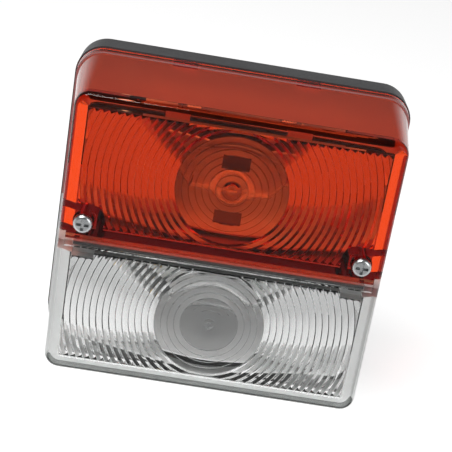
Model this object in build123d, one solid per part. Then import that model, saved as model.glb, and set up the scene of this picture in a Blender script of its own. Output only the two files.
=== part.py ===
from build123d import *
from math import atan, degrees
import os

# Two-colour clearance lamp for a vehicle front: an amber flasher lens above a clear position lens, both on a
# dark moulded tray. X runs to the viewer's right, Z up, and the lamp faces -Y. The origin is the centre of the
# rear mounting face. "Depth" below is the distance in front of that face, so a point at depth d has y = -d.

# Driving dimensions, in millimetres
FACE_W, FACE_H, FACE_R = 100.0, 91.4, 4.5       # flat front of the two lenses, and its corner radius
LENS_FLARE = 4.1                                # lens rear edge beyond the front, on every side
LENS_STEP = 0.9                                 # tray edge beyond the lens rear edge, on every side
DEPTH = 51.0                                    # rear face to lens front
BASE_D = 12.0                                   # rear face to tray rim
BASE_WALL = 3.2                                 # tray side wall
BASE_FLOOR = 3.0                                # tray floor
BASE_CHAMFER = 1.0                              # bevel of the tray's rear edge
SEAL_T, SEAL_W = 1.0, 1.6                       # gasket thickness and width
SEAL_INSET = 0.6                                # gasket edge behind the lens edge
LENS_WALL, SIDE_WALL = 2.5, 1.8                 # front and joint walls, and outer side walls
LENS_BEVEL = 2.4                                # inside bevel between the lens front and its side walls
LENS_EDGE_R = 2.0                               # rounding between the lens front and sides
LENS_RIM_D, LENS_RIM_T = 3.3, 0.5               # ridge round the rear edge of the lenses: depth and height
CLEAR = 0.1                                     # moulding clearance between lens, tray and each other

# Joint between the two lenses, as heights above the middle of the face
AMBER_EDGE_Z = -0.5                             # lower edge of the amber front
AMBER_LIP_H = 0.9                               # front lip below the amber lens's lower wall
CLEAR_TOP_Z = -3.3                              # upper edge of the clear front
STRIP_BACK = 1.0                                # step back of the joint strip above the clear front
STRIP_D = 6.0                                   # joint strip's own depth
STRIP_SKIN = 1.2                                # clear skin in front of the divider wall
STRIP_END = 4.3                                 # solid end of the joint strip at each side
EAR_W, EAR_H, EAR_D = 2.0, 2.1, 3.0             # ears of the clear lens in the amber lens's lower corners
DIVIDER_T = 1.1                                 # light-tight wall between the two chambers

# Optic pattern on the inside of the lenses
EYE_R = 17.3                                    # bull's-eye outer radius
RIB_PITCH = 2.05
RING_H = 1.0                                    # height of the rings inside the bull's-eye
RIB_ROOT = 0.15                                 # pad under the prisms
AMBER_EYE_Z, CLEAR_EYE_Z = 21.9, -23.5
AMBER_RINGS, CLEAR_RINGS = 7, 4                 # stepped rings inside each bull's-eye
CLEAR_DISC_H = 1.4                              # crown of the smooth disc in the clear bull's-eye
GATE_R, GATE_PIN_R, GATE_D = 1.7, 0.7, 0.35     # moulding mark at each bull's-eye centre: ring, pin and depth
FIELD_EDGE = 4.3                                # bare border at each side of the ribbed field
AMBER_FIELD = (3.3, 41.0)                       # lowest and highest rib root
CLEAR_FIELD = (-41.7, -4.6)
AMBER_RUN_OUT, CLEAR_RUN_OUT = 1.2, 2.9         # slope length at the pointed upper rib ends
LOWER_RUN_OUT = 0.3
PAD_W, PAD_H, PAD_OFFSET = 8.4, 4.2, 8.8        # two bare pads in the amber bull's-eye
CORNER_BLOCK_W, CORNER_BLOCK_H, CORNER_BLOCK_D = 7.0, 1.7, 8.0

# Lens fixing
SCREW_EDGE, SCREW_Z = 6.9, 5.0                  # screw inside the face's side edge, and its height
SCREW_R, SCREW_LENGTH = 1.75, 42.0
HEAD_R, HEAD_H = 3.05, 2.0
HEAD_ROUND = 1.3                                # rounded edge of the screw head
RECESS_W, RECESS_L, RECESS_D = 0.95, 3.9, 1.2   # cross recess: slot width, slot length and depth
SCREW_CLEAR = 0.15
SLEEVE_R = 3.4                                  # tube in the amber lens round each screw
PILLAR_R, PILLAR_TOP = 4.0, 17.0                # tray pillar under each tube, and its top as a depth
PILOT_TIP = 1.5                                 # free length below the screw tip
POCKET_W, POCKET_H, POCKET_R = 6.2, 5.4, 4.0    # screw pocket beside and above the screw, and its round corner
POCKET_WALL = 2.2
HOOK_X, HOOK_W, HOOK_T = 20.0, 8.0, 1.5         # hooks of both lenses under the tray rim
HOOK_REACH, HOOK_ROOT = 8.5, 16.0               # hook's rear end and front end, as depths
HOOK_GAP, HOOK_BARB, HOOK_BARB_D = 0.65, 1.05, 2.0

# Mounting and cable inlet
INSERT_PITCH = 76.0                             # threaded inserts, one above the other
INSERT_R, INSERT_BORE_R, INSERT_L = 3.4, 2.1, 7.5
INSERT_BOSS_R, INSERT_BOSS_END = 5.2, 0.8
CABLE_EDGE, CABLE_Z = 17.0, 30.0                # inlet inside the tray's left edge, and its height
GROMMET_R, GROMMET_BORE_R = 6.0, 3.0
GROMMET_FLANGE_R, GROMMET_FLANGE_T = 8.0, 1.6

# Bulbs, contacts and reflectors
BULB_DEPTH = 27.0                               # bulb axis in front of the rear face
BULB_LENGTH = 41.0
FLASHER_GLASS_R, POSITION_GLASS_R = 7.5, 5.25
GLASS_L, GLASS_SHOULDER, GLASS_WALL = 26.0, 4.5, 0.6
CAP_R, CAP_CONE_L, CAP_TIP_R = 4.25, 3.0, 1.2
CAP_SEAT = 0.4                                  # cap rim outside the end of the glass
FILAMENT_L, FILAMENT_R, LEAD_R = 10.8, 0.55, 0.3
SHEET_T, SHEET_BEND_R = 0.6, 1.2                # contact and reflector sheet
LEAF_W, LEAF_TOP = 8.0, 33.0                    # sprung leaf's width, and its upper end as a depth
LEAF_INSET = 1.0                                # leaf inside the bulb's pointed end
LEAF_SEAT_R = 2.4                               # hole that takes the bulb's pointed end
LIVE_FOOT_L, LIVE_LIFT = 14.5, 2.0              # live contact's foot, and its height above the tray floor
EARTH_FOOT_L = 26.0                             # earth foot beyond its leaf
BLADE_W, BLADE_H = 6.3, 9.0
RIVET_R, RIVET_HEAD_R, RIVET_HEAD_H, RIVET_POST_R = 1.5, 2.7, 0.9, 4.0
RIVET_INSET = 7.0                               # rivet's distance beyond the leaf
RIVET_SINK = 1.3                                # counterbore for the rivet's rear head
REFLECTOR_DEPTH, REFLECTOR_RISE = 9.0, 22.0     # flat of the trough, and the wings' rise from it
REFLECTOR_FLAT, REFLECTOR_REACH = 9.0, 17.0     # half heights of the flat and of the whole trough
REFLECTOR_LEFT, REFLECTOR_WING = 31.5, 36.0     # reach to the left, and of the wings to the right
REFLECTOR_PIN_X = (-12.0, 30.0)
REFLECTOR_POST_R, REFLECTOR_PIN_R, REFLECTOR_HEAD_R, REFLECTOR_HEAD_H = 3.0, 1.4, 2.4, 0.8

# Values that follow from the ones above
LENS_REAR = BASE_D + SEAL_T
BASE_GROWTH = LENS_FLARE + LENS_STEP
BASE_W, BASE_H, BASE_R = FACE_W + 2 * BASE_GROWTH, FACE_H + 2 * BASE_GROWTH, FACE_R + BASE_GROWTH
FRONT_IN = DEPTH - LENS_WALL
RIB_H = RIB_ROOT + RIB_PITCH / 2                # prisms with square crests, which turn light back
FIELD_W = FACE_W - 2 * FIELD_EDGE
SCREW_X = FACE_W / 2 - SCREW_EDGE
CABLE_X = CABLE_EDGE - BASE_W / 2
AMBER_WALL_Z = AMBER_EDGE_Z + AMBER_LIP_H
STRIP_FRONT = DEPTH - STRIP_BACK
DIVIDER_FRONT = STRIP_FRONT - STRIP_SKIN - CLEAR
DIVIDER_Z = (CLEAR_TOP_Z + CLEAR, CLEAR_TOP_Z + CLEAR + DIVIDER_T)
CHAMBERS = {"flasher": (AMBER_EYE_Z, FLASHER_GLASS_R), "position": (CLEAR_EYE_Z, POSITION_GLASS_R)}
EYES = (AMBER_EYE_Z, CLEAR_EYE_Z)
LEAF_X = BULB_LENGTH / 2 - LEAF_INSET
LIVE_D = BASE_FLOOR + LIVE_LIFT
FAR = BASE_W


def at_depth(depth):
    """Drawing plane parallel to the rear face, seen from the front: its axes are X and Z."""
    return Plane.XZ.offset(depth)


def block(x, depth, z):
    """Box between two limits each of width, depth and height."""
    size = (x[1] - x[0], depth[1] - depth[0], z[1] - z[0])
    centre = ((x[0] + x[1]) / 2, -(depth[0] + depth[1]) / 2, (z[0] + z[1]) / 2)
    return Pos(*centre) * Box(*size)


def post(x, z, depth, radius):
    """Round post along the depth."""
    return extrude(at_depth(depth[0]) * Pos(x, z) * Circle(radius), depth[1] - depth[0])


def both_sides(shape):
    """A shape and its mirror image in the lamp's middle plane."""
    return shape + mirror(shape, Plane.YZ)


def turned(axis_z, points):
    """Solid turned about a bulb's axis, from points of distance along X and radius."""
    plane = Plane(origin=(0, -BULB_DEPTH, axis_z), x_dir=(1, 0, 0), z_dir=(0, 0, 1))
    return revolve(plane * make_face(Polyline(*points, close=True)), Axis(plane.origin, (1, 0, 0)))


def lens_outline(growth):
    """Rounded outline of the lens front, grown by the same amount on every side."""
    return RectangleRounded(FACE_W + 2 * growth, FACE_H + 2 * growth, FACE_R + growth)


def lens_form(rear, front, inset):
    """Solid of the lenses' common tapered form between two depths, drawn in by an inset."""
    slope = LENS_FLARE / (DEPTH - LENS_REAR)
    rear_growth = slope * (DEPTH - rear) - inset
    return extrude(at_depth(rear) * lens_outline(rear_growth), front - rear, taper=degrees(atan(slope)))


def lens_body():
    """Both lenses as one solid block, with the rounded front edge and the ridge at the rear edge."""
    form = lens_form(LENS_REAR, DEPTH, 0)
    form = fillet(form.faces().sort_by(Axis.Y)[0].edges(), LENS_EDGE_R)
    return form + lens_form(LENS_REAR, LENS_REAR + LENS_RIM_D, -LENS_RIM_T)


def lens_cavity():
    """Hollow of both lenses, open to the rear and bevelled at the front."""
    form = lens_form(LENS_REAR - SEAL_T, FRONT_IN, SIDE_WALL)
    return chamfer(form.faces().sort_by(Axis.Y)[0].edges(), LENS_BEVEL)


def optic(eye_z, rings, crown, field, upper_run_out):
    """Prism pattern on the inner face: stepped rings in the bull's-eye, V ribs out to the edge of the field."""
    disc_r = EYE_R - rings * RIB_PITCH
    outline = [(0, crown), (GATE_PIN_R, crown), (GATE_PIN_R, crown - GATE_D), (GATE_R, crown - GATE_D), (GATE_R, crown)]
    outline.append((disc_r, RIB_ROOT))
    for ring in range(rings):
        inner = disc_r + ring * RIB_PITCH
        outline += [(inner, RING_H), (inner + RIB_PITCH, RIB_ROOT)]
    reach = ((FIELD_W / 2) ** 2 + max(abs(limit - eye_z) for limit in field) ** 2) ** 0.5
    radius = EYE_R
    while radius < reach:
        outline += [(radius + RIB_PITCH / 2, RIB_H), (radius + RIB_PITCH, RIB_ROOT)]
        radius += RIB_PITCH
    sunk = -LENS_WALL / 2
    outline += [(radius, sunk), (0, sunk)]
    plane = Plane(origin=(0, -FRONT_IN, eye_z), x_dir=(1, 0, 0), z_dir=(0, 0, 1))
    disc = revolve(plane * make_face(Polyline(*outline, close=True)), Axis(plane.origin, (0, 1, 0)))
    low, high = field
    crest = max(crown, RING_H, RIB_H)
    section = Polyline(
        (sunk, low), (RIB_ROOT, low), (crest, low + LOWER_RUN_OUT),
        (crest, high - upper_run_out), (RIB_ROOT, high), (sunk, high), close=True)
    side = Plane(origin=(0, -FRONT_IN, 0), x_dir=(0, 1, 0), z_dir=(1, 0, 0))
    return disc & extrude(side * make_face(section), FIELD_W / 2, both=True)


def screw_pocket(wall):
    """Form of the pocket round the right-hand lens screw, drawn in by a wall."""
    inner_x = SCREW_X - POCKET_W + wall
    top_z = SCREW_Z + POCKET_H - wall
    low_z = AMBER_WALL_Z + (LENS_WALL if wall else 0)
    form = block((inner_x, FAR), (LENS_REAR - SEAL_T, FRONT_IN), (low_z, top_z))
    corner = form.edges().filter_by(Axis.Y).group_by(Axis.X)[0].sort_by(Axis.Z)[-1]
    return fillet(corner, POCKET_R - wall)


def lens_hooks(side):
    """Two hooks behind the upper (+1) or lower (-1) lens wall, with barbs that catch under the tray rim."""
    wall_z = BASE_H / 2 - BASE_WALL
    inner_z, outer_z = wall_z - HOOK_GAP - HOOK_T, wall_z - HOOK_GAP
    rim_z = FACE_H / 2 + LENS_FLARE - SIDE_WALL / 2
    x = (HOOK_X - HOOK_W / 2, HOOK_X + HOOK_W / 2)
    tongue = block(x, (HOOK_REACH, HOOK_ROOT), (inner_z, outer_z))
    root = block(x, (LENS_REAR, HOOK_ROOT), (inner_z, rim_z))
    barb = block(x, (HOOK_REACH, HOOK_REACH + HOOK_BARB_D), (inner_z, wall_z + HOOK_BARB))
    hooks = both_sides(tongue + root + barb)
    return hooks if side > 0 else mirror(hooks, Plane.XY)


def hook_slots():
    """Pockets for the hooks' barbs in the tray's upper and lower walls."""
    wall_z = BASE_H / 2 - BASE_WALL
    half = HOOK_W / 2 + 2 * CLEAR
    depth = (HOOK_REACH - 2 * CLEAR, HOOK_REACH + HOOK_BARB_D + 2 * CLEAR)
    slot = block((HOOK_X - half, HOOK_X + half), depth, (wall_z - CLEAR, wall_z + HOOK_BARB + 2 * CLEAR))
    upper = both_sides(slot)
    return upper + mirror(upper, Plane.XY)


def ear_space(margin):
    """Lower front corner of the amber lens that the right-hand ear of the clear lens fills."""
    x0 = FACE_W / 2 - EAR_W - margin
    return block((x0, FAR), (DEPTH - EAR_D - margin, FAR), (AMBER_EDGE_Z - FAR, AMBER_EDGE_Z + EAR_H + margin))


def amber_lens():
    """Upper lens: a box with its own lower wall, two screw pockets and a front lip over the joint."""
    body = lens_body()
    whole = (-FAR, FAR)
    shell = body & block(whole, whole, (AMBER_WALL_Z, FAR))
    lip = body & block(whole, (FRONT_IN, FAR), (AMBER_EDGE_Z, AMBER_WALL_Z))
    cavity = lens_cavity()
    chamber = cavity & block(whole, whole, (AMBER_WALL_Z + LENS_WALL, FAR))
    chamber -= both_sides(screw_pocket(0))
    pockets = both_sides(screw_pocket(POCKET_WALL)) & cavity
    lens = shell + lip - chamber - pockets
    lens += both_sides(post(SCREW_X, SCREW_Z, (PILLAR_TOP, FRONT_IN), SLEEVE_R))
    optics = optic(AMBER_EYE_Z, AMBER_RINGS, RING_H, AMBER_FIELD, AMBER_RUN_OUT)
    optics -= both_sides(screw_pocket(0))
    for side in (-1, 1):
        pad_z = AMBER_EYE_Z + side * PAD_OFFSET
        pad = block((-PAD_W / 2, PAD_W / 2), (FRONT_IN - RING_H, DEPTH - LENS_WALL / 2),
                    (pad_z - PAD_H / 2, pad_z + PAD_H / 2))
        optics += pad
    lens += optics
    lens += lens_hooks(1)
    lens -= both_sides(post(SCREW_X, SCREW_Z, (0, FAR), SCREW_R + SCREW_CLEAR))
    lens -= both_sides(post(SCREW_X, SCREW_Z, (0, PILLAR_TOP), PILLAR_R + 2 * CLEAR))
    return lens - both_sides(ear_space(CLEAR))


def clear_lens():
    """Lower lens: a box with side cheeks up to the amber lens, a grooved joint strip and two ears."""
    body = lens_body()
    whole = (-FAR, FAR)
    cheek_z = AMBER_WALL_Z - CLEAR
    strip_z = AMBER_EDGE_Z - CLEAR
    cavity = lens_cavity()
    lens = body & block(whole, whole, (-FAR, cheek_z))
    lens -= cavity & block(whole, whole, (-FAR, CLEAR_TOP_Z - LENS_WALL))
    lens -= cavity & block(whole, whole, (CLEAR_TOP_Z, FAR))
    lens -= block(whole, (STRIP_FRONT - STRIP_D, FAR), (CLEAR_TOP_Z, FAR))
    strip = body & block(whole, (STRIP_FRONT - STRIP_D, STRIP_FRONT), (CLEAR_TOP_Z, strip_z))
    groove_x = FACE_W / 2 - STRIP_END
    strip -= block((-groove_x, groove_x), (0, STRIP_FRONT - STRIP_SKIN), (CLEAR_TOP_Z, DIVIDER_Z[1] + CLEAR))
    flange_x = groove_x - EAR_W
    flange = block((-flange_x, flange_x), (STRIP_FRONT - STRIP_D, FRONT_IN - CLEAR), (strip_z - CLEAR, cheek_z))
    lens += strip + flange
    ear_z = (CLEAR_TOP_Z, AMBER_EDGE_Z + EAR_H)
    ear = body & block((FACE_W / 2 - EAR_W, FAR), (DEPTH - EAR_D, FAR), ear_z)
    lens += both_sides(ear)
    lens += optic(CLEAR_EYE_Z, CLEAR_RINGS, CLEAR_DISC_H, CLEAR_FIELD, CLEAR_RUN_OUT)
    inner_x = FIELD_W / 2 - CORNER_BLOCK_W
    corner_z = CLEAR_TOP_Z - LENS_WALL
    corner = block((inner_x, FIELD_W / 2), (FRONT_IN - CORNER_BLOCK_D, FRONT_IN),
                   (corner_z - CORNER_BLOCK_H, corner_z))
    lens += both_sides(corner)
    return lens + lens_hooks(-1)


def lens_seal():
    """Flat rubber gasket between the tray rim and the lenses."""
    growth = LENS_FLARE - SEAL_INSET
    return extrude(at_depth(BASE_D) * (lens_outline(growth) - lens_outline(growth - SEAL_W)), SEAL_T)


def lens_screws():
    """Two pan-head screws with a cross recess."""
    shank = post(SCREW_X, SCREW_Z, (DEPTH - SCREW_LENGTH, DEPTH), SCREW_R)
    head = post(SCREW_X, SCREW_Z, (DEPTH, DEPTH + HEAD_H), HEAD_R)
    head = fillet(head.faces().sort_by(Axis.Y)[0].edges(), HEAD_ROUND)
    top = DEPTH + HEAD_H
    for width, height in ((RECESS_L, RECESS_W), (RECESS_W, RECESS_L)):
        x = (SCREW_X - width / 2, SCREW_X + width / 2)
        z = (SCREW_Z - height / 2, SCREW_Z + height / 2)
        head -= block(x, (top - RECESS_D, top + HEAD_H), z)
    return both_sides(shank + head)


def insert_places():
    """Heights of the threaded inserts."""
    return (-INSERT_PITCH / 2, INSERT_PITCH / 2)


def rivet_places():
    """Places of the rivets, one in each live contact."""
    return [(-LEAF_X - RIVET_INSET, eye_z) for eye_z in EYES]


def reflector_pins():
    """Places of the staked pins that carry the reflectors."""
    return [(x, eye_z) for eye_z in EYES for x in REFLECTOR_PIN_X]


def divider():
    """Wall between the two chambers, narrower where it enters the groove of the clear lens."""
    groove_x = FACE_W / 2 - STRIP_END - 2 * CLEAR
    rim_x = BASE_W / 2 - BASE_WALL - LENS_WALL
    neck = STRIP_FRONT - STRIP_D - CLEAR
    half = [(rim_x, -BASE_FLOOR / 2), (rim_x, -BASE_D), (groove_x, -neck), (groove_x, -DIVIDER_FRONT)]
    outline = half + [(-x, y) for x, y in reversed(half)]
    plate = make_face(Polyline(*outline, close=True))
    return extrude(Pos(0, 0, DIVIDER_Z[0]) * plate, DIVIDER_T)


def base_housing():
    """Dark tray with the divider, screw pillars, insert bosses, contact posts and staked reflector pins."""
    tray = extrude(at_depth(0) * RectangleRounded(BASE_W, BASE_H, BASE_R), BASE_D)
    tray = chamfer(tray.faces().sort_by(Axis.Y)[-1].edges(), BASE_CHAMFER)
    hollow = RectangleRounded(BASE_W - 2 * BASE_WALL, BASE_H - 2 * BASE_WALL, BASE_R - BASE_WALL)
    tray -= extrude(at_depth(BASE_FLOOR) * hollow, BASE_D)
    tray += divider()
    root = BASE_FLOOR / 2
    tray += both_sides(post(SCREW_X, SCREW_Z, (root, PILLAR_TOP), PILLAR_R))
    pilot = (DEPTH - SCREW_LENGTH - PILOT_TIP, PILLAR_TOP)
    tray -= both_sides(post(SCREW_X, SCREW_Z, pilot, SCREW_R + SCREW_CLEAR / 2))
    for z in insert_places():
        tray += post(0, z, (root, INSERT_L + INSERT_BOSS_END), INSERT_BOSS_R)
        tray -= post(0, z, (0, INSERT_L), INSERT_R + CLEAR / 2)
    for x, z in rivet_places():
        tray += post(x, z, (root, LIVE_D), RIVET_POST_R)
        tray -= post(x, z, (0, LIVE_D), RIVET_R + CLEAR / 2)
        tray -= post(x, z, (0, RIVET_SINK), RIVET_HEAD_R + CLEAR)
    plate_front = REFLECTOR_DEPTH + SHEET_T
    for x, z in reflector_pins():
        tray += post(x, z, (root, REFLECTOR_DEPTH), REFLECTOR_POST_R)
        tray += post(x, z, (root, plate_front), REFLECTOR_PIN_R)
        tray += post(x, z, (plate_front, plate_front + REFLECTOR_HEAD_H), REFLECTOR_HEAD_R)
    tray -= post(CABLE_X, CABLE_Z, (0, BASE_FLOOR), GROMMET_R)
    return tray - hook_slots()


def mount_inserts():
    """Two threaded brass inserts in the rear face."""
    inserts = [post(0, z, (0, INSERT_L), INSERT_R) - post(0, z, (0, INSERT_L), INSERT_BORE_R)
               for z in insert_places()]
    return Compound(children=inserts)


def cable_grommet():
    """Rubber grommet pushed into the floor from inside, for the cable."""
    spigot = post(CABLE_X, CABLE_Z, (0, BASE_FLOOR), GROMMET_R - CLEAR)
    flange = post(CABLE_X, CABLE_Z, (BASE_FLOOR, BASE_FLOOR + GROMMET_FLANGE_T), GROMMET_FLANGE_R)
    bore = post(CABLE_X, CABLE_Z, (0, BASE_FLOOR + GROMMET_FLANGE_T), GROMMET_BORE_R)
    return spigot + flange - bore


def bulb_glass(eye_z, radius):
    """Tubular bulb glass, drawn in at both ends to meet the caps."""
    half = [(-GLASS_L / 2, CAP_R - CAP_SEAT), (-GLASS_L / 2 + GLASS_SHOULDER, radius)]
    outer = half + [(-x, r) for x, r in reversed(half)]
    inner = [(x, r - GLASS_WALL) for x, r in reversed(outer)]
    return turned(eye_z, outer + inner)


def bulb_caps(eye_z):
    """Two metal end caps with pointed ends, filled with cement as made."""
    tip = BULB_LENGTH / 2
    profile = [(GLASS_L / 2, 0), (GLASS_L / 2, CAP_R), (tip - CAP_CONE_L, CAP_R), (tip, CAP_TIP_R), (tip, 0)]
    return both_sides(turned(eye_z, profile))


def filament(eye_z):
    """Straight filament with its two leads, from cap to cap."""
    half = [(-GLASS_L / 2, 0), (-GLASS_L / 2, LEAD_R), (-FILAMENT_L / 2, LEAD_R), (-FILAMENT_L / 2, FILAMENT_R)]
    return turned(eye_z, half + [(-x, r) for x, r in reversed(half)])


def contact_strip(eye_z, foot_depth, foot_length):
    """Right-hand sprung leaf with its foot and blade terminal, folded from one strip."""
    leaf = LEAF_X + SHEET_T / 2
    foot = foot_depth + SHEET_T / 2
    blade = LEAF_X + foot_length - SHEET_T / 2
    route = FilletPolyline(
        (leaf, -LEAF_TOP), (leaf, -foot), (blade, -foot), (blade, -foot - BLADE_H), radius=SHEET_BEND_R)
    strip = extrude(Pos(0, 0, eye_z) * trace(route, SHEET_T), LEAF_W / 2, both=True)
    blade_x = (blade - SHEET_T, blade + SHEET_T)
    blade_d = (foot + SHEET_BEND_R, foot + 2 * BLADE_H)
    strip -= block(blade_x, blade_d, (eye_z + BLADE_W / 2, eye_z + LEAF_W))
    strip -= block(blade_x, blade_d, (eye_z - LEAF_W, eye_z - BLADE_W / 2))
    seat = [(LEAF_X - SHEET_T, 0), (LEAF_X - SHEET_T, LEAF_SEAT_R), (leaf + SHEET_T, LEAF_SEAT_R), (leaf + SHEET_T, 0)]
    return strip - turned(eye_z, seat)


def live_contact(eye_z):
    """Left-hand contact of a bulb, riveted to its post."""
    strip = contact_strip(eye_z, LIVE_D, LIVE_FOOT_L)
    strip -= post(LEAF_X + RIVET_INSET, eye_z, (LIVE_D, LIVE_D + SHEET_T), RIVET_R + CLEAR / 2)
    return mirror(strip, Plane.YZ)


def reflector(eye_z):
    """Bright folded trough behind a bulb, with the earth contact and its foot on the right, pinned to the tray."""
    middle = REFLECTOR_DEPTH + SHEET_T / 2
    rise = middle + REFLECTOR_RISE
    side = Plane(origin=(0, 0, eye_z), x_dir=(0, -1, 0), z_dir=(-1, 0, 0))
    route = FilletPolyline(
        (rise, -REFLECTOR_REACH), (middle, -REFLECTOR_FLAT), (middle, REFLECTOR_FLAT), (rise, REFLECTOR_REACH),
        radius=2 * SHEET_BEND_R)
    trough = extrude(side * trace(route, SHEET_T), REFLECTOR_LEFT)
    trough += extrude(side * trace(route, SHEET_T), -REFLECTOR_WING)
    slot_half = LEAF_W / 2 + SHEET_T
    slot_x = (-LEAF_X - 2 * SHEET_T, -LEAF_X + SHEET_T)
    trough -= block(slot_x, (0, rise), (eye_z - slot_half, eye_z + slot_half))
    foot_x = (LEAF_X + SHEET_BEND_R, LEAF_X + EARTH_FOOT_L - 2 * SHEET_BEND_R)
    foot_z = (eye_z - REFLECTOR_FLAT + SHEET_BEND_R, eye_z + REFLECTOR_FLAT - SHEET_BEND_R)
    trough += block(foot_x, (REFLECTOR_DEPTH, REFLECTOR_DEPTH + SHEET_T), foot_z)
    trough += contact_strip(eye_z, REFLECTOR_DEPTH, EARTH_FOOT_L)
    for x in REFLECTOR_PIN_X:
        trough -= post(x, eye_z, (0, rise), REFLECTOR_PIN_R + CLEAR / 2)
    return trough


def contact_rivets():
    """Rivets that hold the contacts to the tray, headed at both ends."""
    front = LIVE_D + SHEET_T
    rivets = []
    for x, z in rivet_places():
        rivet = post(x, z, (RIVET_SINK, front), RIVET_R)
        rivet += post(x, z, (front, front + RIVET_HEAD_H), RIVET_HEAD_R)
        rivet += post(x, z, (RIVET_SINK - RIVET_HEAD_H, RIVET_SINK), RIVET_HEAD_R)
        rivets.append(rivet)
    return Compound(children=rivets)


def lamp_parts():
    """Every separate piece of the lamp by name."""
    parts = {
        "base_housing": base_housing(),
        "amber_lens": amber_lens(),
        "clear_lens": clear_lens(),
        "lens_seal": lens_seal(),
        "lens_screws": lens_screws(),
        "mount_inserts": mount_inserts(),
        "cable_grommet": cable_grommet(),
        "contact_rivets": contact_rivets(),
    }
    for name, (eye_z, glass_r) in CHAMBERS.items():
        parts[name + "_bulb_glass"] = bulb_glass(eye_z, glass_r)
        parts[name + "_bulb_caps"] = bulb_caps(eye_z)
        parts[name + "_filament"] = filament(eye_z)
        parts[name + "_live_contact"] = live_contact(eye_z)
        parts[name + "_reflector"] = reflector(eye_z)
    return parts


os.makedirs("parts", exist_ok=True)
for part_name, part_shape in lamp_parts().items():
    export_step(part_shape, f"parts/{part_name}.step")
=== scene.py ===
import math
from collections import namedtuple

import bpy
from mathutils import Matrix, Vector


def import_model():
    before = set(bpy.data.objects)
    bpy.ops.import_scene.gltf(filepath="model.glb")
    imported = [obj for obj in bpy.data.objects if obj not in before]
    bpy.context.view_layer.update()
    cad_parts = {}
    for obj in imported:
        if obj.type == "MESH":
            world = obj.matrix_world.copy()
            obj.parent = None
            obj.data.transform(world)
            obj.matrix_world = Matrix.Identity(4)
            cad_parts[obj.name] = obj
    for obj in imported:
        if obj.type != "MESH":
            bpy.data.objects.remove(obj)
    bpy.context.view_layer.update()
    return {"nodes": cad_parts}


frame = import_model()
MM = 0.001

# Camera, solved from the photograph: angles in degrees, lengths in millimetres
CAMERA_ELEVATION, CAMERA_AZIMUTH, CAMERA_ROLL = 21.2, -2.33, 9.82
CAMERA_DISTANCE = 395.1
CAMERA_TARGET = (0.875, -28.85, 2.64)
CAMERA_LENS = 97.4

# Absorption of the lens plastics for red, green and blue, per millimetre
AMBER_ABSORPTION = (0.035, 0.41, 0.68)
CLEAR_ABSORPTION = (0.032, 0.03, 0.031)
LENS_IOR, BULB_IOR = 1.49, 1.5
SHADOW_TINT = (0.93, 0.93, 0.93, 1)             # light that a transparent piece lets through into its shadow

# Lens optics, in millimetres from the centre of the rear face
EYE_R = 17.3                                    # bull's-eye radius
RIB_PITCH, RIB_DEPTH = 2.05, 48.45              # pitch of the prisms, and their root as a depth
FROST_DEPTH = 45.9                              # matt inner side walls reach from the rear to this depth
FIELD_HALF_W, FIELD_HALF_H = 45.5, 19.0         # half width and height of the prism field
RING_EDGE = 0.09                                # half width of the painted shade line on the edge of each ring, in pitches
RING_MARGIN = 0.2                               # reach of the ring edges past the disc and the bull's-eye
PAD_W, PAD_H, PAD_OFFSET = 8.4, 4.2, 8.8        # two pads of painted shade in the amber bull's-eye
PALE, PAINTED_SHADE_TINT = (1, 1, 1), (0.07, 0.08, 0.08)      # colour of clear lens glass, and of glass darkened as painted shade

# One lens chamber: height of its bull's-eye, radius of the disc in it, half width of the flat lands between its
# prisms in pitches, how strongly painted shade darkens its ring edges and disc, whether it has two pads of painted
# shade and a matt bevel, and its matt inner walls' roughness, share of light that passes them and colour
Chamber = namedtuple("Chamber", "eye_z disc_r land edge_dull disc_dull pads matt_bevel roughness passed tint")
AMBER = Chamber(21.9, 2.95, 0.022, 0.65, 0.0, True, False, 0.7, 0.68, (0.7, 0.4, 0.4))
CLEAR = Chamber(-23.5, 9.1, 0.05, 0.4, 0.6, False, True, 0.5, 0.45, (0.9, 0.9, 0.9))

# Floor, in metres: its height, and the depths between which it turns from its far to its near tone and glow.
# The darker tone and weaker glow of the far floor in front are painted shade.
FLOOR_SIZE, FLOOR_Z = 6, -0.0508
FLOOR_FAR_Y, FLOOR_NEAR_Y = -0.13, -0.085
FLOOR_FAR_SHADED_TONE, FLOOR_NEAR_TONE = (0.36, 0.36, 0.36), (0.42, 0.42, 0.42)
FLOOR_FAR_SHADED_GLOW, FLOOR_NEAR_GLOW = 0.18, 0.68

# Surroundings: strength as a light, above the horizon and towards the camera
WORLD_FILL, WORLD_TOP, WORLD_FRONT = 0.35, 0.16, 0.3
HORIZON_LOW, HORIZON_HIGH = 0.08, 0.4           # upward slopes between which the surroundings darken
FRONT_END, FRONT_START = -0.95, -0.3            # forward slopes between which they darken

# Soft boxes: name, place and size in metres, power in watts
LIGHT_TARGET = (0, -0.03, 0)
LIGHTS = (("key", (-0.35, -0.5, 0.95), 0.7, 12), ("fill", (0.7, -0.8, 0.4), 0.8, 4))
LIGHT_BOUNCES, TRANSPARENT_BOUNCES = 24, 32


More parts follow.
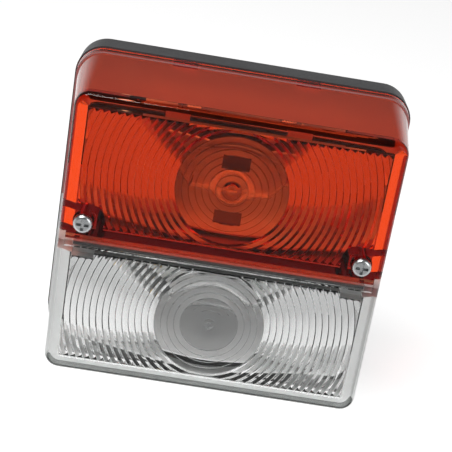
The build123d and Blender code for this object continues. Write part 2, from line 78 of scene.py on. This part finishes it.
class Nodes:
    """Short way to build one material's node tree."""

    def __init__(self, name):
        self.material = bpy.data.materials.new(name)
        self.material.use_nodes = True
        self.tree = self.material.node_tree
        self.tree.nodes.clear()
        self.output = self.add("ShaderNodeOutputMaterial")
        self.position = self.add("ShaderNodeTexCoord").outputs["Object"]

    def add(self, kind, **values):
        """New node, with named inputs set to numbers or linked to sockets."""
        node = self.tree.nodes.new(kind)
        for key, value in values.items():
            self.set(node.inputs[key.replace("_", " ")], value)
        return node

    def set(self, socket, value):
        if isinstance(value, bpy.types.NodeSocket):
            self.tree.links.new(value, socket)
        else:
            socket.default_value = value

    def noise(self, scale, detail=3.0, roughness=0.55, stretch=None):
        """Noise value on the object's own coordinates, scale in waves per millimetre."""
        vector = self.position
        if stretch:
            mapping = self.add("ShaderNodeMapping", Vector=vector, Scale=stretch)
            vector = mapping.outputs["Vector"]
        node = self.add("ShaderNodeTexNoise", Vector=vector, Scale=scale / MM, Detail=detail)
        node.inputs["Roughness"].default_value = roughness
        return node.outputs["Fac"]

    def between(self, value, low, high, start=0.3, end=0.7):
        """Value remapped from start..end to low..high."""
        node = self.add("ShaderNodeMapRange", Value=value)
        for key, number in (("From Min", start), ("From Max", end), ("To Min", low), ("To Max", high)):
            node.inputs[key].default_value = number
        return node.outputs["Result"]

    def mixed(self, value, dark, pale):
        """Colour between two, steered by a value."""
        node = self.add("ShaderNodeMix")
        node.data_type = "RGBA"
        self.set(node.inputs[0], value)
        node.inputs[6].default_value = (*dark, 1)
        node.inputs[7].default_value = (*pale, 1)
        return node.outputs[2]

    def blend(self, value, colour, other):
        """Colour from a socket, blended to another colour by a value."""
        node = self.mixed(value, (1, 1, 1), other).node
        self.set(node.inputs[6], colour)
        return node.outputs[2]

    def number(self, operation, *values):
        """Sum, product and the like of numbers."""
        node = self.add("ShaderNodeMath")
        node.operation = operation
        for socket, value in zip(node.inputs, values):
            self.set(socket, value)
        return node.outputs[0]

    def every(self, first, *others):
        """1 where all the values are 1, else 0."""
        for other in others:
            first = self.number("MULTIPLY", first, other)
        return first

    def vector(self, operation, *values, output=0):
        """Vector sum, product and the like."""
        node = self.add("ShaderNodeVectorMath")
        node.operation = operation
        for socket, value in zip(node.inputs, values):
            self.set(socket, value)
        return node.outputs[output]

    def axes(self):
        """The position's X, Y and Z."""
        return self.add("ShaderNodeSeparateXYZ", Vector=self.position).outputs

    def side(self):
        """1 on a surface seen from its front, -1 from behind."""
        return self.number("MULTIPLY_ADD", self.add("ShaderNodeNewGeometry").outputs["Backfacing"], -2.0, 1.0)

    def behind(self, y, depth):
        """1 behind a depth in millimetres, else 0."""
        return self.number("GREATER_THAN", y, -depth * MM)

    def in_optics(self, y):
        """1 at the depth of the prisms and rings, else 0."""
        return self.every(self.behind(y, RIB_DEPTH), self.number("LESS_THAN", y, -FROST_DEPTH * MM))

    def near(self, value, middle, reach):
        """1 within a reach of a middle, both in millimetres, else 0."""
        away = self.number("ABSOLUTE", self.number("SUBTRACT", value, middle * MM))
        return self.number("LESS_THAN", away, reach * MM)

    def on_walls(self, chamber):
        """1 on the inner surfaces of a chamber's side walls, and of its bevel where that is matt, else 0."""
        middle = (0, -FROST_DEPTH * MM / 2, chamber.eye_z * MM)
        outward = self.vector("SUBTRACT", self.position, middle)
        normal = self.add("ShaderNodeNewGeometry").outputs["True Normal"]
        along = self.vector("DOT_PRODUCT", outward, normal, output="Value")
        inward = self.number("LESS_THAN", self.number("MULTIPLY", along, self.side()), 0.0)
        x, y, z = self.axes()
        walls = self.behind(y, FROST_DEPTH)
        if chamber.matt_bevel:
            across = self.number("GREATER_THAN", self.number("ABSOLUTE", x), FIELD_HALF_W * MM)
            below = self.number("LESS_THAN", z, (chamber.eye_z - FIELD_HALF_H) * MM)
            bevel = self.every(self.number("MAXIMUM", across, below), self.behind(y, RIB_DEPTH))
            walls = self.number("MAXIMUM", walls, bevel)
        return self.every(inward, walls)

    def shade_pad_mask(self, chamber):
        """1 on the two pads of painted shade above and below the bull's-eye's centre, else 0."""
        x, y, z = self.axes()
        up = self.number("ABSOLUTE", self.number("SUBTRACT", z, chamber.eye_z * MM))
        return self.every(self.near(up, PAD_OFFSET, PAD_H / 2), self.near(x, 0, PAD_W / 2), self.in_optics(y))

    def rings(self, chamber):
        """Distance from the bull's-eye's axis, and its distance from a prism's middle in pitches."""
        flat = self.vector("MULTIPLY", self.position, (1, 0, 1))
        from_axis = self.vector("SUBTRACT", flat, (0, 0, chamber.eye_z * MM))
        radius = self.vector("LENGTH", from_axis, output="Value")
        turns = self.number("DIVIDE", self.number("SUBTRACT", radius, EYE_R * MM), RIB_PITCH * MM)
        phase = self.number("ABSOLUTE", self.number("SUBTRACT", self.number("FRACT", turns), 0.5))
        return radius, phase

    def with_lands(self, normal, chamber):
        """Normal with a narrow flat land in the valley of every prism."""
        x, y, z = self.axes()
        phase = self.rings(chamber)[1]
        field = self.every(self.near(x, 0, FIELD_HALF_W), self.near(z, chamber.eye_z, FIELD_HALF_H))
        land = self.every(self.number("GREATER_THAN", phase, 0.5 - chamber.land), field, self.in_optics(y))
        mix = self.add("ShaderNodeMix")
        mix.data_type = "VECTOR"
        self.set(mix.inputs[0], land)
        self.set(mix.inputs[4], normal)
        self.set(mix.inputs[5], self.add("ShaderNodeCombineXYZ", Y=self.side()).outputs[0])
        return mix.outputs[1]

    def painted_shade_amount(self, chamber):
        """How much painted shade darkens the bull's-eye on its ring edges, disc and pads, from 0 to 1."""
        radius, phase = self.rings(chamber)
        optics = self.in_optics(self.axes()["Y"])
        eye = self.every(self.number("LESS_THAN", radius, (EYE_R + RING_MARGIN) * MM),
                         self.number("GREATER_THAN", radius, (chamber.disc_r - RING_MARGIN) * MM))
        edges = self.every(self.number("GREATER_THAN", phase, 0.5 - RING_EDGE), eye, optics)
        disc = self.every(self.number("LESS_THAN", radius, chamber.disc_r * MM), optics)
        # painted shade: darkened glass colour on the ring edges, the disc and the pads
        darkened = self.number("MAXIMUM", self.number("MULTIPLY", edges, chamber.edge_dull),
                           self.number("MULTIPLY", disc, chamber.disc_dull))
        if chamber.pads:
            darkened = self.number("MAXIMUM", darkened, self.shade_pad_mask(chamber))
        return darkened

    def bump(self, height, strength, distance):
        """Normal from a height field, distance in millimetres."""
        node = self.add("ShaderNodeBump", Height=height, Strength=strength, Distance=distance * MM)
        return node.outputs["Normal"]

    def finish(self, shader):
        self.set(self.output.inputs["Surface"], shader)
        return self.material


def grained_plastic(name, dark, pale, roughness):
    """Moulded opaque plastic or rubber: fine grain, faint cloudiness and dust."""
    n = Nodes(name)
    cloud = n.noise(0.05, 4)
    grain = n.noise(2.2, 2)
    shader = n.add("ShaderNodeBsdfPrincipled", Base_Color=n.mixed(n.between(cloud, 0, 1), dark, pale))
    n.set(shader.inputs["Roughness"], n.between(grain, roughness - 0.08, roughness + 0.08))
    n.set(shader.inputs["Normal"], n.bump(grain, 0.35, 0.04))
    return n.finish(shader.outputs[0])


def metal(name, dark, pale, roughness, brush, metallic=1.0):
    """Metal with brushed or rolled streaks along one axis; dull zinc is less metallic."""
    n = Nodes(name)
    streak = n.noise(0.6, 4, stretch=brush)
    cloud = n.noise(0.15, 3)
    shader = n.add("ShaderNodeBsdfPrincipled", Base_Color=n.mixed(n.between(cloud, 0, 1), dark, pale))
    shader.inputs["Metallic"].default_value = metallic
    n.set(shader.inputs["Roughness"], n.between(streak, roughness - 0.06, roughness + 0.08))
    n.set(shader.inputs["Normal"], n.bump(streak, 0.15, 0.02))
    return n.finish(shader.outputs[0])


def clear_plastic(name, absorption, ior, roughness, chamber=None, gloss=1.0):
    """Transparent moulding with absorption in its depth and slight waviness. A lens has a chamber's optics,
    matt walls and painted shade that darkens its glass on the bull's-eye's ring edges, disc and pads."""
    n = Nodes(name)
    polish = n.between(n.noise(0.25, 4), roughness * 0.5, roughness * 1.5)
    normal = n.bump(n.noise(0.06, 2), 0.08, 0.4)
    glass = n.add("ShaderNodeBsdfPrincipled", IOR=ior)
    glass.inputs["Transmission Weight"].default_value = 1.0
    glass.inputs["Base Color"].default_value = (*PALE, 1)
    glass.inputs["Specular Tint"].default_value = (gloss, gloss, gloss, 1)
    if chamber:
        walls = n.on_walls(chamber)
        polish = n.number("MAXIMUM", polish, n.number("MULTIPLY", walls, chamber.roughness))
        normal = n.with_lands(normal, chamber)
        # painted shade: the glass colour turns dark on the bull's-eye's ring edges, disc and pads
        colour = n.mixed(n.painted_shade_amount(chamber), PALE, PAINTED_SHADE_TINT)
        n.set(glass.inputs["Base Color"], n.blend(walls, colour, chamber.tint))
        n.set(glass.inputs["Transmission Weight"], n.between(walls, 1.0, chamber.passed, 0.0, 1.0))
    n.set(glass.inputs["Roughness"], polish)
    n.set(glass.inputs["Normal"], normal)
    through = n.add("ShaderNodeBsdfTransparent")
    through.inputs["Color"].default_value = SHADOW_TINT
    shadow = n.add("ShaderNodeLightPath").outputs["Is Shadow Ray"]
    shader = n.add("ShaderNodeMixShader", Fac=shadow)
    n.set(shader.inputs[1], glass.outputs[0])
    n.set(shader.inputs[2], through.outputs[0])
    if absorption:
        density = max(absorption)
        volume = n.add("ShaderNodeVolumeAbsorption", Density=density / MM)
        volume.inputs["Color"].default_value = (*(1 - value / density for value in absorption), 1)
        n.set(n.output.inputs["Volume"], volume.outputs[0])
    return n.finish(shader.outputs[0])


def dress(material, *names):
    for name in names:
        mesh = frame["nodes"][name].data
        mesh.materials.clear()
        mesh.materials.append(material)


def materials():
    """A material on every piece."""
    dress(grained_plastic("base_plastic", (0.018, 0.018, 0.019), (0.032, 0.032, 0.034), 0.5), "base_housing")
    dress(grained_plastic("seal_rubber", (0.012, 0.012, 0.012), (0.03, 0.03, 0.03), 0.7),
          "lens_seal", "cable_grommet")
    dress(clear_plastic("amber_plastic", AMBER_ABSORPTION, LENS_IOR, 0.03, AMBER, 0.35), "amber_lens")
    dress(clear_plastic("clear_plastic", CLEAR_ABSORPTION, LENS_IOR, 0.02, CLEAR, 0.5), "clear_lens")
    dress(clear_plastic("bulb_glass", None, BULB_IOR, 0.01), "flasher_bulb_glass", "position_bulb_glass")
    dress(metal("zinc_steel", (0.38, 0.39, 0.4), (0.55, 0.56, 0.56), 0.25, (1, 1, 4)), "lens_screws")
    dress(metal("reflector_sheet", (0.5, 0.5, 0.51), (0.62, 0.62, 0.62), 0.55, (0.2, 3, 3), 0.3),
          "flasher_reflector")
    dress(metal("pale_sheet", (0.82, 0.82, 0.83), (0.9, 0.9, 0.9), 0.55, (0.2, 3, 3), 0.3),
          "position_reflector")
    dress(metal("brass", (0.55, 0.38, 0.15), (0.7, 0.52, 0.25), 0.3, (4, 0.5, 1)),
          "mount_inserts", "contact_rivets", "flasher_live_contact", "position_live_contact")
    dress(metal("cap_metal", (0.55, 0.55, 0.53), (0.68, 0.68, 0.66), 0.25, (3, 0.5, 0.5)),
          "flasher_bulb_caps", "position_bulb_caps")
    dress(metal("filament_wire", (0.25, 0.25, 0.26), (0.4, 0.4, 0.41), 0.4, (8, 1, 1)),
          "flasher_filament", "position_filament")


def seen_ray(tree):
    """Socket that is 1 for rays from the camera, from mirrors and through glass."""
    path = tree.nodes.new("ShaderNodeLightPath")
    seen = path.outputs["Is Camera Ray"]
    for ray in ("Is Glossy Ray", "Is Transmission Ray"):
        either = tree.nodes.new("ShaderNodeMath")
        either.operation = "MAXIMUM"
        tree.links.new(seen, either.inputs[0])
        tree.links.new(path.outputs[ray], either.inputs[1])
        seen = either.outputs[0]
    return seen


def floor():
    """Pale floor under the lamp, which keeps its shadow, with painted shade making it less bright in front."""
    bpy.ops.mesh.primitive_plane_add(size=FLOOR_SIZE, location=(0, 0, FLOOR_Z))
    plane = bpy.context.object
    plane.name = "floor"
    n = Nodes("floor")
    # painted shade: tone and glow fall off towards the front of the floor
    near = n.between(n.axes()["Y"], 0.0, 1.0, FLOOR_FAR_Y, FLOOR_NEAR_Y)
    glow = n.between(near, FLOOR_FAR_SHADED_GLOW, FLOOR_NEAR_GLOW, 0.0, 1.0)
    tone = n.mixed(near, FLOOR_FAR_SHADED_TONE, FLOOR_NEAR_TONE)
    shader = n.add("ShaderNodeBsdfPrincipled", Base_Color=tone, Roughness=0.9)
    shader.inputs["Emission Color"].default_value = (1, 1, 1, 1)
    n.set(shader.inputs["Emission Strength"], n.number("MULTIPLY", seen_ray(n.tree), glow))
    plane.data.materials.append(n.finish(shader.outputs[0]))


def area_light(name, position, size, power):
    """Soft box turned towards the lamp."""
    light = bpy.data.lights.new(name, "AREA")
    light.shape = "DISK"
    light.size = size
    light.energy = power
    lamp = bpy.data.objects.new(name, light)
    lamp.location = position
    lamp.visible_transmission = False
    lamp.rotation_euler = (Vector(LIGHT_TARGET) - Vector(position)).to_track_quat("-Z", "Y").to_euler()
    bpy.context.collection.objects.link(lamp)


def world():
    """White surroundings as the camera sees them. Mirrors and glass see them white at the horizon, darker above
    and towards the camera, and as a light they are weaker."""
    scene_world = bpy.data.worlds.new("studio")
    bpy.context.scene.world = scene_world
    scene_world.use_nodes = True
    tree = scene_world.node_tree
    tree.nodes.clear()

    def node(kind, inputs, output, operation=None):
        item = tree.nodes.new(kind)
        if operation:
            item.operation = operation
        for key, value in inputs.items():
            if isinstance(value, bpy.types.NodeSocket):
                tree.links.new(value, item.inputs[key])
            else:
                item.inputs[key].default_value = value
        return item.outputs[output]

    def ramp(value, start, end, low, high):
        return node("ShaderNodeMapRange", {"Value": value, "From Min": start, "From Max": end, "To Min": low,
                                           "To Max": high}, "Result")

    direction = node("ShaderNodeTexCoord", {}, "Generated")
    split = tree.nodes.new("ShaderNodeSeparateXYZ")
    tree.links.new(direction, split.inputs["Vector"])
    above = ramp(split.outputs["Z"], HORIZON_LOW, HORIZON_HIGH, 1.0, WORLD_TOP)
    front = ramp(split.outputs["Y"], FRONT_END, FRONT_START, WORLD_FRONT, 1.0)
    tent = node("ShaderNodeMath", {0: above, 1: front}, 0, "MULTIPLY")
    camera_ray = node("ShaderNodeLightPath", {}, "Is Camera Ray")
    shown = node("ShaderNodeMath", {0: tent, 1: camera_ray}, 0, "MAXIMUM")
    strength = ramp(seen_ray(tree), 0.0, 1.0, WORLD_FILL, shown)
    background = node("ShaderNodeBackground", {"Color": (1, 1, 1, 1), "Strength": strength}, "Background")
    output = tree.nodes.new("ShaderNodeOutputWorld")
    tree.links.new(background, output.inputs["Surface"])


def camera():
    """Camera at the photograph's angle."""
    elevation, azimuth, roll = (math.radians(v) for v in (CAMERA_ELEVATION, CAMERA_AZIMUTH, CAMERA_ROLL))
    back = Vector((math.sin(azimuth) * math.cos(elevation), -math.cos(azimuth) * math.cos(elevation),
                   math.sin(elevation)))
    right = (-back).cross(Vector((0, 0, 1))).normalized()
    up = right.cross(-back)
    across = math.cos(roll) * right + math.sin(roll) * up
    upright = math.cos(roll) * up - math.sin(roll) * right
    matrix = Matrix((across, upright, back)).transposed().to_4x4()
    matrix.translation = (Vector(CAMERA_TARGET) + back * CAMERA_DISTANCE) * MM
    data = bpy.data.cameras.new("camera")
    data.lens = CAMERA_LENS
    data.sensor_width = 36
    data.clip_start = 0.01
    item = bpy.data.objects.new("camera", data)
    item.matrix_world = matrix
    bpy.context.collection.objects.link(item)
    bpy.context.scene.camera = item


materials()
floor()
world()
for light in LIGHTS:
    area_light(*light)
camera()
scene = bpy.context.scene
scene.view_settings.view_transform = "Standard"
scene.cycles.max_bounces = LIGHT_BOUNCES
scene.cycles.transmission_bounces = LIGHT_BOUNCES
scene.cycles.transparent_max_bounces = TRANSPARENT_BOUNCES
